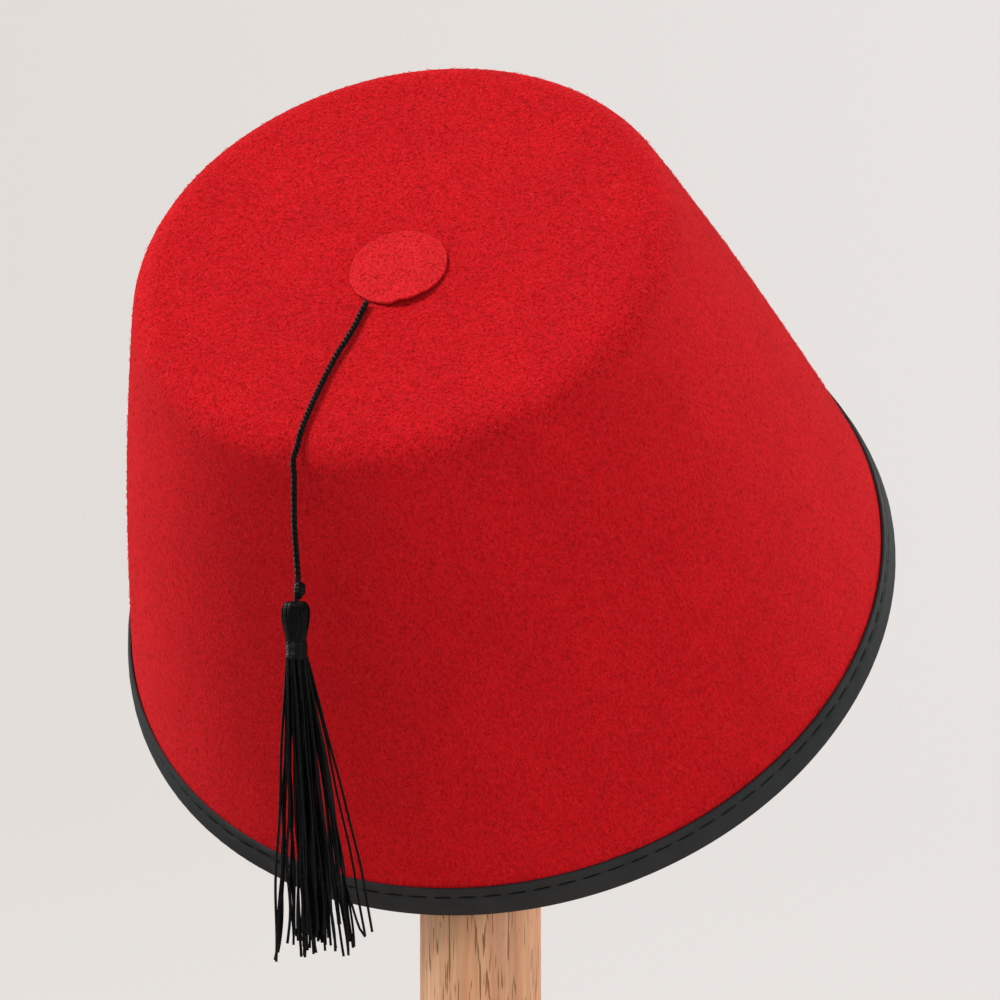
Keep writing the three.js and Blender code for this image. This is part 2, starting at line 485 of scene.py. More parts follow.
def neck_winding():
    shuffle = random.Random(5)
    count = NECK_TURNS * NECK_STEPS
    wander = [shuffle.uniform(-1, 1) * NECK_WANDER for _ in range(NECK_TURNS + 2)]
    winding = []
    for i in range(count + 1):
        turn = i / NECK_STEPS
        low = int(turn)
        off = wander[low] + (wander[low + 1] - wander[low]) * (turn - low)
        off += NECK_FULLNESS * math.sin(math.pi * i / count)
        drop = NECK_START + NECK_HEIGHT * i / count
        winding.append(around(NECK_TOP, math.tau * turn, NECK_RADIUS + off, drop))
    return winding


def neck_crossing():
    crossing = []
    for i in range(NECK_STEPS + 1):
        share = i / NECK_STEPS
        drop = (NECK_CROSSING["starts"] + NECK_CROSSING["drops"] * share) * MM
        angle = math.radians(NECK_CROSSING["from"] + NECK_CROSSING["round"] * share)
        crossing.append(around(NECK_TOP, angle, NECK_RADIUS + 1.5 * NECK_THREAD, drop))
    return crossing


neck_rows = [(depth, NECK_RADIUS / MM) for depth in (0.0, 1.0, 2.0, 3.0, 3.8)]
neck_lines = [neck_winding(), neck_crossing()]
neck = add_piece(
    "tassel_neck_winding",
    joined(yarn("neck", neck_lines, NECK_THREAD, 1), yarn_core(neck_rows, NECK_TOP)),
    rayon("neck_rayon", across=6.0, along=400.0, slant=10.0, relief=0.03 * MM, gloss=0.16),
    ["tassel_neck"],
)


# ---- Tassel skirt ----
# The yarns hang free below the neck, in small locks that part towards the tips. They are
# cut with scissors, so their ends are blunt and not quite level.
SKIRT_TOP = Vector((-40.1 * MM, TASSEL_Y, 190.8 * MM))
SKIRT_ROOT_RADIUS = 2.2  # mm
YARN_RADIUS = 0.31 * MM
SKIRT_STEPS = 34
LOCK_LOOSENESS = 0.34  # mm between the tips in a lock
CUT_UNEVENNESS = 0.8  # mm
WAVE_SIZE = (0.12, 0.36)  # mm
WAVE_COUNT = (1.2, 3.2)  # on a yarn's length
# Where each lock's tip is, to the right and to the back, and its length, in mm. Opening
# says how early it spreads: 1 is straight from the neck, and less sweeps out late.
SKIRT_LOCKS = [
    {"right": -4.7, "back": -1.0, "length": 67.1, "opening": 1.6, "yarns": 1},
    {"right": -4.8, "back": -2.2, "length": 66.6, "opening": 0.5, "yarns": 1},
    {"right": -3.9, "back": 0.3, "length": 65.5, "opening": 0.65, "yarns": 2},
    {"right": -1.8, "back": -2.0, "length": 63.0, "opening": 1.5, "yarns": 1},
    {"right": -1.1, "back": 1.2, "length": 63.5, "opening": 1.2, "yarns": 1},
    {"right": -0.7, "back": 2.6, "length": 60.1, "opening": 0.8, "yarns": 1},
    {"right": 0.3, "back": -2.8, "length": 61.3, "opening": 0.4, "yarns": 1},
    {"right": 0.7, "back": 0.6, "length": 63.0, "opening": 1.4, "yarns": 2},
    {"right": 1.3, "back": -2.4, "length": 66.2, "opening": 1.3, "yarns": 3},
    {"right": 1.7, "back": 3.0, "length": 62.6, "opening": 1.0, "yarns": 3},
    {"right": 2.0, "back": 2.0, "length": 65.0, "opening": 1.5, "yarns": 4},
    {"right": 2.6, "back": -3.2, "length": 62.3, "opening": 1.1, "yarns": 3},
    {"right": 3.0, "back": 3.6, "length": 60.7, "opening": 1.3, "yarns": 2},
    {"right": 3.4, "back": 2.2, "length": 63.8, "opening": 1.1, "yarns": 3},
    {"right": 3.9, "back": -1.0, "length": 65.7, "opening": 0.8, "yarns": 2},
    {"right": 4.4, "back": 1.6, "length": 63.2, "opening": 1.3, "yarns": 4},
    {"right": 5.0, "back": 3.0, "length": 62.8, "opening": 1.0, "yarns": 3},
    {"right": 5.4, "back": -2.6, "length": 62.1, "opening": 1.2, "yarns": 4},
    {"right": 6.0, "back": 0.8, "length": 63.5, "opening": 1.1, "yarns": 2},
    {"right": 6.3, "back": 3.4, "length": 62.5, "opening": 1.2, "yarns": 3},
    {"right": 6.6, "back": -0.6, "length": 64.7, "opening": 1.0, "yarns": 2},
    {"right": 7.8, "back": 1.4, "length": 64.3, "opening": 1.2, "yarns": 2},
    {"right": 8.6, "back": -2.2, "length": 65.1, "opening": 1.1, "yarns": 2},
    {"right": 9.2, "back": 2.8, "length": 59.7, "opening": 1.3, "yarns": 2},
    {"right": 10.3, "back": -0.8, "length": 65.9, "opening": 0.9, "yarns": 1},
    {"right": 10.9, "back": 1.0, "length": 65.8, "opening": 1.1, "yarns": 1},
    {"right": 11.4, "back": -1.8, "length": 64.9, "opening": 1.2, "yarns": 1},
    {"right": 12.2, "back": 0.4, "length": 64.1, "opening": 1.25, "yarns": 3},
    {"right": 14.9, "back": 0.8, "length": 61.5, "opening": 1.15, "yarns": 1},
    {"right": 15.1, "back": -1.2, "length": 61.6, "opening": 0.65, "yarns": 1},
    {"right": 16.8, "back": -0.4, "length": 60.6, "opening": 1.13, "yarns": 1},
]


def hanging_yarn(root, tip, length, opening, shuffle):
    """One yarn from the neck to its tip, with a slight wave of its own."""
    waves = [
        (shuffle.uniform(*WAVE_SIZE), shuffle.uniform(*WAVE_COUNT), shuffle.uniform(0, math.tau))
        for _ in range(4)
    ]
    points = []
    for step in range(SKIRT_STEPS + 1):
        share = step / SKIRT_STEPS
        spread = 1 - (1 - share) ** opening
        sway = [
            size * share**0.7 * math.sin(math.tau * count * share + phase) for size, count, phase in waves
        ]
        x = root[0] + (tip[0] - root[0]) * spread + sway[0] + sway[1] * 0.5
        y = root[1] + (tip[1] - root[1]) * spread + sway[2] + sway[3] * 0.5
        points.append(SKIRT_TOP + Vector((x, y, -length * share)) * MM)
    return points


def skirt_yarns():
    shuffle = random.Random(23)
    count = sum(row["yarns"] for row in SKIRT_LOCKS)
    yarns = []
    for row in SKIRT_LOCKS:
        for _ in range(row["yarns"]):
            across = 2 * (len(yarns) + 0.5) / count - 1
            deep = math.sqrt(1 - across * across)
            root = (SKIRT_ROOT_RADIUS * across, SKIRT_ROOT_RADIUS * deep * shuffle.uniform(-1, 1))
            loose = LOCK_LOOSENESS * (row["yarns"] - 1)
            tip = [row[way] + shuffle.uniform(-loose, loose) for way in ("right", "back")]
            length = row["length"] - abs(shuffle.gauss(0, CUT_UNEVENNESS)) * (row["yarns"] > 1)
            yarns.append(hanging_yarn(root, tip, length, row["opening"], shuffle))
    return yarns


add_piece(
    "tassel_skirt_yarns",
    yarn("skirt", skirt_yarns(), YARN_RADIUS, 1),
    strand_rayon,
    ["tassel_skirt"],
)


# ---- Stand base ----
# A turned disc of pale wood with an eased upper edge and an oiled finish. The post is
# let into its middle.
BASE_RADIUS = 75 * MM
BASE_THICKNESS = 18 * MM
BASE_EDGE = 3 * MM
FOOT_EDGE = 0.8 * MM
TURNED_STEPS = 160


def eased_cylinder(radius, low, high, edges):
    """A turned cylinder between two heights; edges are its lower and upper roundings."""
    bm = bmesh.new()
    bmesh.ops.create_cone(
        bm,
        cap_ends=True,
        segments=TURNED_STEPS,
        radius1=radius,
        radius2=radius,
        depth=high - low,
        matrix=Matrix.Translation((0, 0, (high + low) / 2)),
    )
    for height, rounding in zip((low, high), edges):
        outermost = radius - rounding / 2
        rim = [
            edge
            for edge in bm.edges
            if all(abs(v.co.z - height) < 1e-6 and v.co.xy.length > outermost for v in edge.verts)
        ]
        eased = {"offset": rounding, "segments": 5, "clamp_overlap": True}
        bmesh.ops.bevel(bm, geom=rim, profile=0.5, affect="EDGES", material=-1, **eased)
    return bm


# Open-pored wood: broad pinkish and yellowish growth bands, and many short dark pores
# that run with the grain.
wood_look, given, made = start_group(
    "open_pored_wood",
    [
        ("Vector", "Vector", None),
        ("Pale wood", "Color", (0.85, 0.5, 0.275, 1)),
        ("Warm wood", "Color", (0.72, 0.34, 0.178, 1)),
        ("Pores", "Color", (0.33, 0.145, 0.063, 1)),
    ],
    [("Colour", "Color"), ("Roughness", "Float"), ("Height", "Float")],
)
grain_way = add_node(
    wood_look, "ShaderNodeMapping", {"Vector": given["Vector"], "Scale": (1.0, 1.0, 0.05)}
)
bands = texture(wood_look, grain_way.outputs[0], 140.0, Detail=3.0, Roughness=0.55, Distortion=0.3)
fine_grain = texture(wood_look, grain_way.outputs[0], 900.0, Detail=3.0)
pore_way = add_node(
    wood_look,
    "ShaderNodeMapping",
    {"Vector": given["Vector"], "Scale": (1.0, 1.0, 0.065), "Rotation": (0.0, 0.012, 0.0)},
)
pore_noise = texture(wood_look, pore_way.outputs[0], 1600.0, Detail=1.0, Distortion=0.25)
pore_mask = ramp(wood_look, pore_noise, [(0.60, 0.0), (0.66, 1.0)])
band_mask = ramp(wood_look, bands, [(0.38, 0.0), (0.62, 1.0)])
ground = mixed(wood_look, band_mask, given["Pale wood"], given["Warm wood"])
ground = mixed(wood_look, 1.0, ground, ramp(wood_look, fine_grain, [(0.3, 0.84), (0.7, 1.1)]), "MULTIPLY")
wood_results = {
    "Colour": mixed(wood_look, pore_mask, ground, given["Pores"]),
    "Roughness": spread_over(wood_look, fine_grain, 0.2, 0.8, 0.42, 0.6),
    "Height": maths(wood_look, "MULTIPLY_ADD", pore_mask, -1.0, fine_grain),
}
link_all(wood_look, wood_results, made)


def oiled_wood(name, grain_turn):
    """The stand's wood; grain_turn turns the grain from upright."""
    material, tree, shader = start_material(name, Specular_IOR_Level=0.35)
    turned = add_node(tree, "ShaderNodeMapping", {"Vector": place_on_piece(tree), "Rotation": grain_turn})
    look = add_group(tree, wood_look, {"Vector": turned.outputs[0]})
    link_all(tree, {"Base Color": look["Colour"], "Roughness": look["Roughness"]}, shader.inputs)
    bump(tree, shader, look["Height"], 0.12 * MM, 0.6)
    return material


add_piece(
    "stand_base_turned",
    to_mesh(eased_cylinder(BASE_RADIUS, 0, BASE_THICKNESS, (FOOT_EDGE, BASE_EDGE)), 40),
    oiled_wood("base_wood", (0.0, math.pi / 2, 0.3)),
    ["stand_base"],
)


# ---- Stand post ----
# A plain dowel of the same wood, with the grain upright. The hat's flat top rests on
# its upper end, out of sight.
POST_RADIUS = 14 * MM
POST_LOW = 18.3 * MM
POST_TOP = 309.85 * MM
POST_EDGE = 1.5 * MM

add_piece(
    "stand_post_turned",
    to_mesh(eased_cylinder(POST_RADIUS, POST_LOW, POST_TOP, (0.3 * MM, POST_EDGE)), 40),
    oiled_wood("post_wood", (0.0, 0.0, 0.6)),
    ["stand_post"],
)


# ---- Felt crown ----
# Wool felt 2.5 mm thick, steamed over a block: side and top are one piece with a soft
# edge between them. It hangs tilted forward on the post, so it is made upright, with its
# sizes in mm, and then put in its place.
RIM_RADIUS = 91.8
CROWN_RADIUS = 61.8
HAT_HEIGHT = 126.5
CROWN_ROUNDING = 8.5
SIDE_BOW = 1.15
TOP_SLANT = (0.025, -0.072)  # the top's rise for each mm to the right and back
FELT = 2.5
CUT_EDGE = 1.1  # the felt's lower edge, above the rim's
SLOPE = math.atan2(RIM_RADIUS - CROWN_RADIUS, HAT_HEIGHT)
HAT_TILT = math.radians(51.2)
HAT_LEAN = math.radians(14.6)
RIM_CENTRE = Vector((6.85, 40.0, 201.45)) * MM
HAT_PLACE = (
    Matrix.Translation(RIM_CENTRE) @ Matrix.Rotation(-HAT_LEAN, 4, "Z") @ Matrix.Rotation(HAT_TILT, 4, "X")
)
HAT_STEPS = 216
SIDE_ROWS = 26
TOP_ROWS = 14
UNEVENNESS = 0.28  # mm, of the hand-steamed form
UNEVEN_SIZE = 0.018  # waves to the mm
CORNER_STEPS = 9
FELT_SHEEN = 0.3


def on_wall(along, depth):
    """Radius and height, in mm, of a point so far up the side and out from the felt."""
    out = depth + SIDE_BOW * math.sin(math.pi * along / HAT_HEIGHT)
    return (
        RIM_RADIUS - along * math.sin(SLOPE) + out * math.cos(SLOPE),
        along * math.cos(SLOPE) + out * math.sin(SLOPE),
    )


def felt_surface(depth):
    """One face of the felt from its cut edge to the middle of the top, in mm."""
    half_corner = (math.pi / 2 + SLOPE) / 2
    reach = CROWN_ROUNDING / math.tan(half_corner)
    side = HAT_HEIGHT / math.cos(SLOPE) - reach
    points = [on_wall(CUT_EDGE + (side - CUT_EDGE) * i / SIDE_ROWS, depth) for i in range(SIDE_ROWS)]
    middle = (CROWN_RADIUS - reach, HAT_HEIGHT - CROWN_ROUNDING)
    for i in range(CORNER_STEPS + 1):
        angle = SLOPE + (math.pi / 2 - SLOPE) * i / CORNER_STEPS
        radius = CROWN_ROUNDING + depth
        points.append((middle[0] + radius * math.cos(angle), middle[1] + radius * math.sin(angle)))
    points += [(middle[0] * (1 - i / TOP_ROWS), HAT_HEIGHT + depth) for i in range(1, TOP_ROWS + 1)]
    return points


def uneven(place):
    """How far the felt stands in or out at a place of the upright hat, in metres."""
    wave = noise.noise(place / MM * UNEVEN_SIZE + Vector((3.1, 7.7, 1.9)))
    return wave * UNEVENNESS * MM


def hung_up(place):
    """Where a place of the plain upright hat, in metres, comes in the hung hat."""
    share = min(max(place.z / (HAT_HEIGHT * MM), 0), 1)
    rise = (TOP_SLANT[0] * place.x + TOP_SLANT[1] * place.y) * share
    return HAT_PLACE @ Vector((place.x, place.y, place.z + rise))


def hang(bm):
    for vert in bm.verts:
        vert.co = hung_up(vert.co)
    bm.normal_update()
    return bm


def steamed(bm):
    """Gives the upright felt its slight unevenness and puts it in the hat's place."""
    for vert in bm.verts:
        outward = Vector((vert.co.x, vert.co.y, 0))
        if outward.length > 1e-4:
            vert.co += outward.normalized() * uneven(vert.co)
    return hang(bm)


# The grain of wool felt: short curled fibres lie matted every which way, so the red is
# broken up by small darker hollows and paler fibre ends.
felt_look, given, made = start_group(
    "matted_felt",
    [
        ("Vector", "Vector", None),
        ("Size", "Float", 1.0),
        ("Coarseness", "Float", 1.0),
        ("Red", "Color", (0.6, 0.01, 0.015, 1)),
        ("Hollows", "Color", (0.4, 0.004, 0.006, 1)),
        ("Fibre ends", "Color", (0.8, 0.03, 0.035, 1)),
    ],
    [("Colour", "Color"), ("Height", "Float")],
)
scaled = add_node(
    felt_look, "ShaderNodeVectorMath", {0: given["Vector"], "Scale": given["Size"]}, operation="SCALE"
).outputs[0]
mat_noise = texture(felt_look, scaled, 1750.0, Detail=2.0, Roughness=0.6, Distortion=0.8)
curl_noise = texture(felt_look, scaled, 1500.0, Detail=1.0, Roughness=0.5, Distortion=1.6)
clouds = texture(felt_look, scaled, 70.0, Detail=2.0)
off_line = maths(felt_look, "ABSOLUTE", maths(felt_look, "SUBTRACT", curl_noise, 0.5))
fibres = ramp(felt_look, off_line, [(0.0, 1.0), (0.055, 0.0)])
hollows = ramp(felt_look, mat_noise, [(0.4, 1.0), (0.53, 0.0)])
hollow_part = maths(felt_look, "MULTIPLY", hollows, given["Coarseness"])
fibre_part = maths(felt_look, "MULTIPLY", fibres, given["Coarseness"])
tone = mixed(felt_look, hollow_part, given["Red"], given["Hollows"])
tone = mixed(felt_look, fibre_part, tone, given["Fibre ends"])
cloud_tone = ramp(felt_look, clouds, [(0.3, 0.95), (0.7, 1.05)])
felt_results = {
    "Colour": mixed(felt_look, 1.0, tone, cloud_tone, "MULTIPLY"),
    "Height": maths(felt_look, "MULTIPLY_ADD", fibres, 0.3, mat_noise),
}
link_all(felt_look, felt_results, made)


def upright_place(tree, stretch):
    """A place in the upright hat, in metres, squeezed along its height by stretch."""
    hat_axes = {
        "Vector": place_on_piece(tree),
        "Location": RIM_CENTRE,
        "Rotation": HAT_PLACE.to_euler(),
        "Scale": (1.0, 1.0, stretch),
    }
    return add_node(tree, "ShaderNodeMapping", hat_axes, vector_type="TEXTURE").outputs[0]


def felt(name, size, stretch, coarseness, red, hollows, fibre_ends, relief_depth):
    """Red felt; stretch lengthens the grain up the side of the upright hat."""
    material, tree, shader = start_material(name, Roughness=0.95, Specular_IOR_Level=0.05)
    shader.inputs["Sheen Weight"].default_value = FELT_SHEEN
    shader.inputs["Sheen Roughness"].default_value = 0.45
    shader.inputs["Sheen Tint"].default_value = (1.0, 0.05, 0.06, 1)
    place = upright_place(tree, stretch)
    up_the_side = (-TOP_SLANT[0], -TOP_SLANT[1], stretch)
    height = vector_maths(tree, "DOT_PRODUCT", place, up_the_side).outputs["Value"]
    bend_starts = (HAT_HEIGHT - CROWN_ROUNDING) * MM
    rough = spread_over(tree, height, bend_starts, HAT_HEIGHT * MM, coarseness, 1.0)
    colours = {"Red": red, "Hollows": hollows, "Fibre ends": fibre_ends}
    look = add_group(tree, felt_look, {"Vector": place, "Size": size, "Coarseness": rough, **colours})
    bump(tree, shader, look["Height"], relief_depth)
    tree.links.new(look["Colour"], shader.inputs["Base Color"])
    return material, tree, shader, look["Colour"]


crown_felt, _, _, _ = felt(
    "crown_felt",
    size=1.0,
    stretch=2.0,
    coarseness=0.6,
    red=(0.73, 0.0085, 0.014, 1),
    hollows=(0.38, 0.0016, 0.0042, 1),
    fibre_ends=(0.95, 0.032, 0.04, 1),
    relief_depth=0.26 * MM,
)
crown_shell = steamed(spun([*felt_surface(0), *reversed(felt_surface(-FELT))], HAT_STEPS))
crown = add_piece("felt_crown_shell", to_mesh(crown_shell, 60), crown_felt, ["felt_crown"])


# ---- Felt nap ----
# Single curled fibres lie loose on the felt, more of them on the top than on the side,
# which was ironed smooth.
NAP_FIBRE = {"length": 1.0, "radius": 0.045}  # mm
NAP_SEGMENTS = 3
NAP_SIZES = (0.5, 1.35)  # times the length
NAP_TILT = (76, 92)  # degrees from straight out
NAP_CURL = 0.3 * MM
NAP_STEPS = 144
NAP_SINK = 0.12 * MM  # the fibres' roots, below the surface
NAP_ON = [
    {"name": "felt_crown_nap_low", "rows": (2, 14), "fibres_per_mm2": 0.24, "seed": 4},
    {"name": "felt_crown_nap_high", "rows": (13, SIDE_ROWS + 3), "fibres_per_mm2": 0.24, "seed": 6},
    {"name": "felt_crown_nap_top", "rows": (SIDE_ROWS + 2, None), "fibres_per_mm2": 0.6, "seed": 9},
]


def nap_tree(material, density, seed):
    """Geometry nodes that grow curled fibres all over a surface, as one real mesh."""
    tree = bpy.data.node_groups.new("felt_nap", "GeometryNodeTree")
    tree.interface.new_socket("Surface", in_out="INPUT", socket_type="NodeSocketGeometry")
    tree.interface.new_socket("Fibres", in_out="OUTPUT", socket_type="NodeSocketGeometry")
    surface = tree.nodes.new("NodeGroupInput").outputs[0]

    def grow(kind, inputs=None, **settings):
        return add_node(tree, "GeometryNode" + kind, inputs, **settings).outputs

    def shuffled(kind, inputs):
        return add_node(tree, "FunctionNodeRandomValue", inputs, data_type=kind).outputs

    spots = grow("DistributePointsOnFaces", {"Mesh": surface, "Density": density, "Seed": seed})
    ends = {"Start": (0, 0, -NAP_SINK), "End": (0, 0, NAP_FIBRE["length"] * MM)}
    line = grow("ResampleCurve", {"Curve": grow("CurvePrimitiveLine", ends)[0], "Count": NAP_SEGMENTS + 1})
    share = {"Geometry": line[0], "Name": "share", "Value": grow("SplineParameter")["Factor"]}
    fibre = grow("StoreNamedAttribute", share, data_type="FLOAT")[0]
    sizes = shuffled("FLOAT", {2: NAP_SIZES[0], 3: NAP_SIZES[1], "Seed": seed + 1})
    placed = {"Points": spots["Points"], "Rotation": spots["Rotation"], "Scale": sizes[1]}
    standing = grow("InstanceOnPoints", {"Instance": fibre, **placed})[0]
    least = (math.radians(NAP_TILT[0]), 0, 0)
    most = (math.radians(NAP_TILT[1]), 0, math.tau)
    leans = shuffled("FLOAT_VECTOR", {0: least, 1: most, "Seed": seed + 2})[0]
    leaning = grow("RotateInstances", {"Instances": standing, "Rotation": leans})[0]
    real = grow("RealizeInstances", {0: leaning})[0]
    curl = add_node(tree, "ShaderNodeTexNoise", {"Scale": 420.0, "Detail": 1.0})
    centred = vector_maths(tree, "SUBTRACT", curl.outputs["Color"], (0.5, 0.5, 0.5)).outputs[0]
    kept = grow("InputNamedAttribute", {"Name": "share"}, data_type="FLOAT")["Attribute"]
    strength = maths(tree, "MULTIPLY", kept, NAP_CURL * 4)
    bend = add_node(tree, "ShaderNodeVectorMath", {0: centred, "Scale": strength}, operation="SCALE")
    curled = grow("SetPosition", {"Geometry": real, "Offset": bend.outputs[0]})[0]
    section = grow("CurvePrimitiveCircle", {"Resolution": 3, "Radius": NAP_FIBRE["radius"] * MM})[0]
    thick = grow("CurveToMesh", {"Curve": curled, "Profile Curve": section, "Fill Caps": True})[0]
    dyed = grow("SetMaterial", {"Geometry": thick, "Material": material})[0]
    tree.links.new(dyed, tree.nodes.new("NodeGroupOutput").inputs[0])
    return tree


def grown(bm, tree):
    """The mesh that geometry nodes make of a bmesh."""
    ground_mesh = to_mesh(bm)
    ground_piece = bpy.data.objects.new("nap_ground", ground_mesh)
    bpy.context.scene.collection.objects.link(ground_piece)
    grower = ground_piece.modifiers.new("nap", "NODES")
    grower.node_group = tree
    seen = ground_piece.evaluated_get(bpy.context.evaluated_depsgraph_get())
    mesh = bpy.data.meshes.new_from_object(seen)
    bpy.data.objects.remove(ground_piece)
    return mesh


nap_red, nap_nodes, nap_shader = start_material("nap_fibres", Roughness=0.9, Specular_IOR_Level=0.1)
nap_noise = texture(nap_nodes, place_on_piece(nap_nodes), 800.0)
nap_tone = mixed(
    nap_nodes,
    ramp(nap_nodes, nap_noise, [(0.35, 0.0), (0.65, 1.0)]),
    (0.54, 0.005, 0.01, 1),
    (0.82, 0.03, 0.04, 1),
)
nap_nodes.links.new(nap_tone, nap_shader.inputs["Base Color"])

for row in NAP_ON:
    first, last = row["rows"]
    nap_surface = steamed(spun(felt_surface(0)[first:last], NAP_STEPS, closed=False))
    growing = nap_tree(nap_red, row["fibres_per_mm2"] / MM**2, row["seed"])
    add_piece(row["name"], grown(nap_surface, growing), nap_red)


# ---- Rim binding ----
# A smooth black tape folded over the felt's cut edge. It is sewn through near its upper
# edge, where the thread pulls it in, and its end laps over its start.
TAPE = 0.62
TAPE_GAP = 0.18  # between tape and felt
TAPE_OUTSIDE = 8.0
TAPE_INSIDE = 7.0
TAPE_ROWS = (1.4, 2.2, 3.2, 4.2, 4.7, 5.0, 5.2, 5.4, 5.6, 5.8, 6.1, 6.6, 7.2)  # closer at the stitches
FOLD = 0.75  # the rounding of the folded tape's corners
STITCH_LINE = 5.4  # up from the rim's edge
STITCH_LINE_INSIDE = STITCH_LINE - 1.2
STITCHES = 98
STITCH_SHARE = 0.93  # of the spacing that the thread shows
BINDING_STEPS = STITCHES * 6
SEAM_DEPTH = 0.38
SEAM_HALF_WIDTH = 0.55
TAPE_FULLNESS = 0.16
TAPE_RIPPLE = 0.07
LAP_CRUMPLE = 0.12
LAP = {"from": 243.5, "to": 254.0, "height": 0.32, "slant": -0.4}  # degrees round the rim
PINCH = {"degrees": 243.0, "half_angle": 8.0, "along": 5.6, "half_width": 1.2, "depth": 0.45}


def tape_outline():
    """The folded tape's section as (along, depth) pairs in mm, felt side last."""
    out = TAPE_GAP + TAPE
    inward = -FELT - TAPE_GAP - TAPE
    points = [(TAPE_INSIDE, -FELT - TAPE_GAP), (TAPE_INSIDE, inward + 0.25), (TAPE_INSIDE - 0.25, inward)]
    points += [(along, inward) for along in (5.4, 4.6, 4.2, 3.8, 2.4, 1.2)]
    for a in (0.0, 0.5, 1.0, 1.5):
        points.append((FOLD * (1 - math.sin(a)), inward + FOLD * (1 - math.cos(a))))
    for a in (0.07, 0.57, 1.07, 1.57):
        points.append((FOLD * (1 - math.cos(a)), out - FOLD * (1 - math.sin(a))))
    points += [(along, out) for along in TAPE_ROWS]
    points += [(7.7, out - 0.03), (7.93, out - 0.16), (TAPE_OUTSIDE, out - 0.4), (TAPE_OUTSIDE, TAPE_GAP)]
    points += [(TAPE, TAPE_GAP), (TAPE, -FELT - TAPE_GAP)]
    return points


def stitch_pull(degrees):
    """How hard the thread pulls the tape in at an angle: 1 under a stitch, less between."""
    share = (degrees / 360 * STITCHES) % 1.0
    off_middle = abs(share - 0.5) * 2
    between = max(off_middle - STITCH_SHARE, 0) / (1 - STITCH_SHARE)
    return 1 - 0.65 * between


def tape_relief(along, degrees, outside):
    """How far the tape's face stands out from its plain section, in mm."""
    line = STITCH_LINE if outside else STITCH_LINE_INSIDE
    off = (along - line) / SEAM_HALF_WIDTH
    seam = -SEAM_DEPTH * math.exp(-off * off) * stitch_pull(degrees)
    full = TAPE_FULLNESS * math.sin(math.pi * min(max((along - 0.5) / (line - 0.5), 0), 1))
    ripple = TAPE_RIPPLE * noise.noise(Vector((degrees * 0.9, along * 0.35, 2.0 if outside else 9.0)))
    lap = 0.0
    if outside:
        since_start = (degrees - LAP["from"] - LAP["slant"] * along) / 0.5
        to_end = (LAP["to"] + 0.2 * along - degrees) / 0.9
        inside_lap = min(since_start, to_end, 1)
        crumple = LAP_CRUMPLE * noise.noise(Vector((degrees * 0.55, along * 0.5, 5.0)))
        lap = max(inside_lap, 0) * (LAP["height"] + crumple)
        beside = min(abs(degrees - PINCH["degrees"]) / PINCH["half_angle"], 1)
        above = (along - PINCH["along"]) / PINCH["half_width"]
        lap -= PINCH["depth"] * math.cos(math.pi / 2 * beside) ** 2 * math.exp(-above * above)
    return seam + full + ripple + lap


def folded_tape():
    bm = spun([on_wall(along, depth) for along, depth in tape_outline()], BINDING_STEPS)
    middle = -FELT / 2
    for vert in bm.verts:
        radius, height = vert.co.xy.length / MM, vert.co.z / MM
        along = (RIM_RADIUS - radius) * math.sin(SLOPE) + height * math.cos(SLOPE)
        depth = (radius - RIM_RADIUS) * math.cos(SLOPE) + height * math.sin(SLOPE)
        depth -= SIDE_BOW * math.sin(math.pi * along / HAT_HEIGHT)
        felt_side = -FELT - TAPE_GAP - 0.1 < depth < TAPE_GAP + 0.1
        if felt_side or along < 0.3:
            continue
        degrees = math.degrees(math.atan2(vert.co.y, vert.co.x)) % 360
        outside = depth > middle
        shift = tape_relief(along, degrees, outside) * (1 if outside else -1) * MM
        outward = Vector((vert.co.x, vert.co.y, 0)).normalized()
        vert.co += outward * (shift * math.cos(SLOPE)) + Vector((0, 0, shift * math.sin(SLOPE)))
    return hang(bm)


tape_black, tape_nodes, tape_shader = start_material("binding_tape", Specular_IOR_Level=0.03)
tape_cloud = texture(tape_nodes, place_on_piece(tape_nodes), 160.0, Detail=3.0)
tape_fine = texture(tape_nodes, place_on_piece(tape_nodes), 2600.0, Detail=2.0)
tape_tone = mixed(
    tape_nodes,
    ramp(tape_nodes, tape_cloud, [(0.3, 0.0), (0.7, 1.0)]),
    (0.034, 0.0355, 0.0365, 1),
    (0.042, 0.044, 0.045, 1),
)
tape_gloss = spread_over(tape_nodes, tape_cloud, 0.3, 0.7, 0.5, 0.62)
link_all(tape_nodes, {"Base Color": tape_tone, "Roughness": tape_gloss}, tape_shader.inputs)
bump(tape_nodes, tape_shader, tape_fine, 0.02 * MM)

add_piece(
    "rim_binding_tape", to_mesh(folded_tape(), 50), tape_black, ["rim_binding"]
)


# ---- Rim stitching ----
# Black sewing thread in long stitches, outside and inside, each one sunk into the tape
# and bowed a little where it comes up from its hole.
STITCH_THREAD = 0.26
STITCH_POINTS = 7
STITCH_SINK = {"middle": 0.16, "end": 0.62}  # mm below the tape's plain face


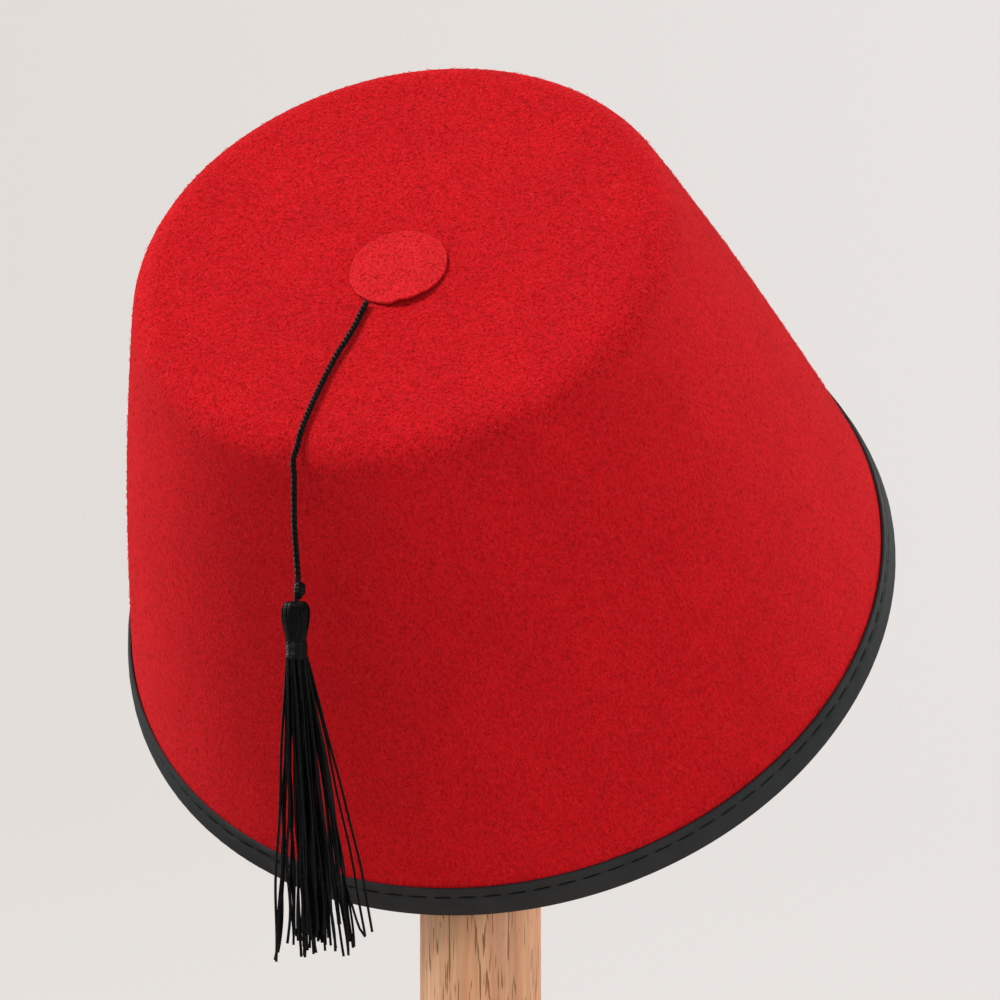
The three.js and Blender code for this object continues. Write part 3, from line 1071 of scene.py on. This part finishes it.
def stitch(number, outside):
    """One stitch, as points along the rim in the hat's place."""
    face = TAPE_GAP + TAPE if outside else -FELT - TAPE_GAP - TAPE
    line = STITCH_LINE if outside else STITCH_LINE_INSIDE
    points = []
    for i in range(STITCH_POINTS):
        share = i / (STITCH_POINTS - 1)
        degrees = 360 / STITCHES * (number + 0.5 + (share - 0.5) * STITCH_SHARE)
        end = abs(share - 0.5) * 2
        sink = STITCH_SINK["middle"] + (STITCH_SINK["end"] - STITCH_SINK["middle"]) * end**5
        lift = tape_relief(line, degrees, outside) + SEAM_DEPTH * 0.9
        depth = face + (lift - sink - 0.18) * (1 if outside else -1)
        slant = 0.12 * (share - 0.5) * (1 if number % 2 else 0.4)
        radius, height = on_wall(line + slant, depth)
        angle = math.radians(degrees)
        points.append(hung_up(Vector((radius * math.cos(angle), radius * math.sin(angle), height)) * MM))
    return points


stitch_lines = [stitch(i, side) for i in range(STITCHES) for side in (True, False)]
add_piece(
    "rim_stitching",
    yarn("stitches", stitch_lines, STITCH_THREAD * MM, 1),
    rayon("sewing_thread", across=6.0, along=12.0, slant=4.0, relief=0.03 * MM, gloss=0.1),
)


# ---- Button disc ----
# A small disc punched from thinner felt and glued over the cord's fixing. Its lower
# right edge has lifted, and it is puckered beside the cord. Its edge has a painted
# highlight, which is left out on the lifted side, where the edge is in shade.
DISC_RADIUS = 11.2
DISC_THICKNESS = 0.62
DISC_EDGE = 0.16 * MM
DISC_RAGGED = 0.2
DISC_WAVES = 0.25
DISC_PLACE = Vector((0.95, -5.75, HAT_HEIGHT + 0.3))  # mm, in the upright hat
DISC_STEPS = 120
DISC_RINGS = 18
LIFT = {"degrees": -77.0, "before": 12.0, "after": 66.0, "height": 0.95, "starts": 0.35}
LIFTED_WAY = (0.64, -0.77, 0)  # from the disc's middle towards the lifted edge
# the painted highlight on the disc's edge: where it starts and where it is full, in mm, and its strength
EDGE_HIGHLIGHT = {"from": DISC_RADIUS - 0.32, "full": DISC_RADIUS - 0.05, "strength": 0.3}  # mm
FOLDS = [  # soft ridges, or creases where the height is negative, in mm
    {"from": (-0.3, -11.4), "to": (2.1, -6.8), "height": 0.5, "half_width": 0.65},
    {"from": (1.2, 0.6), "to": (3.6, 5.0), "height": -0.2, "half_width": 0.9},
    {"from": (-3.4, -5.6), "to": (-0.2, -3.2), "height": -0.14, "half_width": 1.1},
    {"from": (-5.6, 0.5), "to": (-4.2, 3.4), "height": -0.1, "half_width": 1.0},
]


def lifted(angle):
    """How much of its lift the disc's edge has at an angle, from 0 to 1."""
    off = (angle - LIFT["degrees"] + 180) % 360 - 180
    reach = LIFT["before"] if off < 0 else LIFT["after"]
    return 0.5 + 0.5 * math.cos(math.pi * min(abs(off) / reach, 1))


def fold_height(x, y):
    """How far the folds stand up at a place on the disc, in mm."""
    height = 0.0
    for row in FOLDS:
        start, end = Vector(row["from"]), Vector(row["to"])
        run = end - start
        share = min(max((Vector((x, y)) - start).dot(run) / run.length_squared, 0), 1)
        off = (Vector((x, y)) - start - run * share).length / row["half_width"]
        height += row["height"] * math.exp(-off * off)
    return height


def disc_rise(x, y):
    """The height of the disc's underside above the crown at a place, in mm."""
    radius, angle = math.hypot(x, y), math.degrees(math.atan2(y, x))
    edge = max(radius / DISC_RADIUS - LIFT["starts"], 0) / (1 - LIFT["starts"])
    rise = LIFT["height"] * lifted(angle) * edge**1.5 + fold_height(x, y)
    rise += DISC_WAVES * (0.5 + noise.noise(Vector((x * 0.3, y * 0.3, 4.0)))) * (0.3 + edge)
    return max(rise, 0)


def punched_disc():
    rings = [(DISC_RADIUS * i / DISC_RINGS, 0) for i in range(DISC_RINGS + 1)]
    bm = spun(rings, DISC_STEPS, closed=False)
    if sum(face.normal.z for face in bm.faces) < 0:
        bmesh.ops.reverse_faces(bm, faces=bm.faces)
    bmesh.ops.solidify(bm, geom=bm.faces[:], thickness=-DISC_THICKNESS * MM)
    for vert in bm.verts:
        x, y = vert.co.x / MM, vert.co.y / MM
        ragged = DISC_RAGGED * noise.noise(Vector((x * 0.4, y * 0.4, 8.0)))
        ragged *= (math.hypot(x, y) / DISC_RADIUS) ** 6
        stretch = 1 + ragged / DISC_RADIUS
        vert.co = Vector((x * stretch, y * stretch, vert.co.z / MM + disc_rise(x, y))) * MM
    near_edge = (DISC_RADIUS - 0.5) * MM
    rim = [
        edge
        for edge in bm.edges
        if edge.calc_face_angle(0) > 1.0 and all(v.co.xy.length > near_edge for v in edge.verts)
    ]
    bmesh.ops.bevel(bm, geom=rim, offset=DISC_EDGE, segments=2, profile=0.5, affect="EDGES", material=-1)
    bmesh.ops.translate(bm, verts=bm.verts, vec=DISC_PLACE * MM)
    return hang(bm)


disc_felt, disc_nodes, disc_shader, disc_colour = felt(
    "disc_felt",
    size=1.1,
    stretch=1.0,
    coarseness=1.0,
    red=(0.84, 0.018, 0.025, 1),
    hollows=(0.42, 0.003, 0.0055, 1),
    fibre_ends=(0.97, 0.05, 0.06, 1),
    relief_depth=0.2 * MM,
)
disc_place = upright_place(disc_nodes, 1.0)
from_middle = vector_maths(disc_nodes, "SUBTRACT", disc_place, DISC_PLACE * MM).outputs[0]
on_disc = vector_maths(disc_nodes, "MULTIPLY", from_middle, (1, 1, 0)).outputs[0]
disc_radius = add_node(disc_nodes, "ShaderNodeVectorMath", {0: on_disc}, operation="LENGTH")
# Painted highlight: the edge's colour is made paler where the light catches it, and the band fades out
# towards the lifted edge, which is in shade.
highlight_from, highlight_full = EDGE_HIGHLIGHT["from"] * MM, EDGE_HIGHLIGHT["full"] * MM
radius_value = disc_radius.outputs["Value"]
edge_band = spread_over(disc_nodes, radius_value, highlight_from, highlight_full, 0.0, EDGE_HIGHLIGHT["strength"])
to_lift = vector_maths(disc_nodes, "DOT_PRODUCT", on_disc, LIFTED_WAY).outputs["Value"]
lit_side = spread_over(disc_nodes, to_lift, 0.3 * DISC_RADIUS * MM, 0.8 * DISC_RADIUS * MM, 1.0, 0.0)
edge_highlight = maths(disc_nodes, "MULTIPLY", edge_band, lit_side)
highlighted_colour = mixed(disc_nodes, edge_highlight, disc_colour, (0.97, 0.08, 0.09, 1))
disc_nodes.links.new(highlighted_colour, disc_shader.inputs["Base Color"])
disc = add_piece("button_disc_felt", to_mesh(punched_disc(), 60), disc_felt, ["button_disc"])


# ---- Studio ----
# A pale floor that sweeps up into a round paper wall far behind. The wall glows evenly, as
# if lit by lamps of its own, and the hat has its own soft lamps round it.
FLOOR_RADIUS = 2.0
WALL_RADIUS = 7.0
WALL_HEIGHT = 6.0
COVE = 3.0
STUDIO_STEPS = 96
GLOW = {"strength": 0.76, "from": 0.7, "full": 1.6}
GLOW_LEFT = (0.97, 0.92, 0.87, 1)
GLOW_RIGHT = (1.05, 1.005, 0.985, 1)

studio_pale, studio_nodes, studio_shader = start_material(
    "studio_pale", Roughness=0.9, Specular_IOR_Level=0.0
)
studio_place = place_on_piece(studio_nodes)
studio_noise = texture(studio_nodes, studio_place, 3.0, Detail=3.0)
from_stand = add_node(studio_nodes, "ShaderNodeVectorMath", {0: studio_place}, operation="LENGTH")
glow = spread_over(
    studio_nodes,
    from_stand.outputs["Value"],
    GLOW["from"],
    GLOW["full"],
    0.0,
    GLOW["strength"],
    interpolation_type="SMOOTHSTEP",
)
across_wall = add_node(studio_nodes, "ShaderNodeSeparateXYZ", {0: studio_place})
to_the_right = spread_over(studio_nodes, across_wall.outputs["X"], -0.6, 0.6, 0.0, 1.0)
glow_colour = mixed(studio_nodes, to_the_right, GLOW_LEFT, GLOW_RIGHT)
studio_nodes.links.new(glow_colour, studio_shader.inputs["Emission Color"])
studio_nodes.links.new(glow, studio_shader.inputs["Emission Strength"])
unlit = ramp(studio_nodes, glow, [(0.0, 0.82), (0.74, 0.03)])
speckled = ramp(studio_nodes, studio_noise, [(0.3, 0.97), (0.7, 1.0)])
floor_colour = mixed(studio_nodes, 1.0, unlit, speckled, "MULTIPLY")
studio_nodes.links.new(floor_colour, studio_shader.inputs["Base Color"])


def studio_part(name, outline):
    bm = spun([(radius / MM, height / MM) for radius, height in outline], STUDIO_STEPS, closed=False)
    if bm.faces[0].normal.z < 0:
        bmesh.ops.reverse_faces(bm, faces=bm.faces)
    mesh = to_mesh(bm)
    mesh.materials.append(studio_pale)
    part = bpy.data.objects.new(name, mesh)
    bpy.context.scene.collection.objects.link(part)
    return part


floor = studio_part("studio_floor", [(0, 0), (FLOOR_RADIUS / 2, 0), (FLOOR_RADIUS, 0)])
cove = [
    (WALL_RADIUS - COVE + COVE * math.sin(i * math.pi / 32), COVE - COVE * math.cos(i * math.pi / 32))
    for i in range(17)
]
wall = studio_part("studio_wall", [(FLOOR_RADIUS, 0), *cove, (WALL_RADIUS, WALL_HEIGHT)])
for surround in (floor, wall):  # they take no part in lighting the hat
    surround.visible_diffuse = False
    surround.visible_glossy = False
    surround.visible_shadow = False

room_light = bpy.data.worlds.new("white_room")
room_light.use_nodes = True
room_light.node_tree.nodes["Background"].inputs["Color"].default_value = (1.0, 0.985, 0.97, 1)
room_light.node_tree.nodes["Background"].inputs["Strength"].default_value = 0.44
bpy.context.scene.world = room_light

LAMPS = [
    {"name": "key_softbox", "place": (-1.44, -0.8, 2.19), "size": 0.9, "watts": 47.0},
    {"name": "right_back_softbox", "place": (2.0, 1.4, 1.2), "size": 1.2, "watts": 38.0},
    {"name": "left_back_softbox", "place": (-2.0, 1.4, 1.2), "size": 1.2, "watts": 31.0},
    {"name": "right_low_softbox", "place": (1.5, -1.2, 0.15), "size": 0.8, "watts": 5.7},
    {"name": "white_card", "place": (0.35, -0.5, 0.03), "size": 0.3, "watts": 0.55},
]
for row in LAMPS:
    lamp_data = bpy.data.lights.new(row["name"], "AREA")
    lamp_data.size = row["size"]
    lamp_data.energy = row["watts"]
    lamp = bpy.data.objects.new(row["name"], lamp_data)
    lamp.location = row["place"]
    lamp.visible_camera = False
    lamp.rotation_euler = (RIM_CENTRE - Vector(row["place"])).to_track_quat("-Z", "Y").to_euler()
    bpy.context.scene.collection.objects.link(lamp)
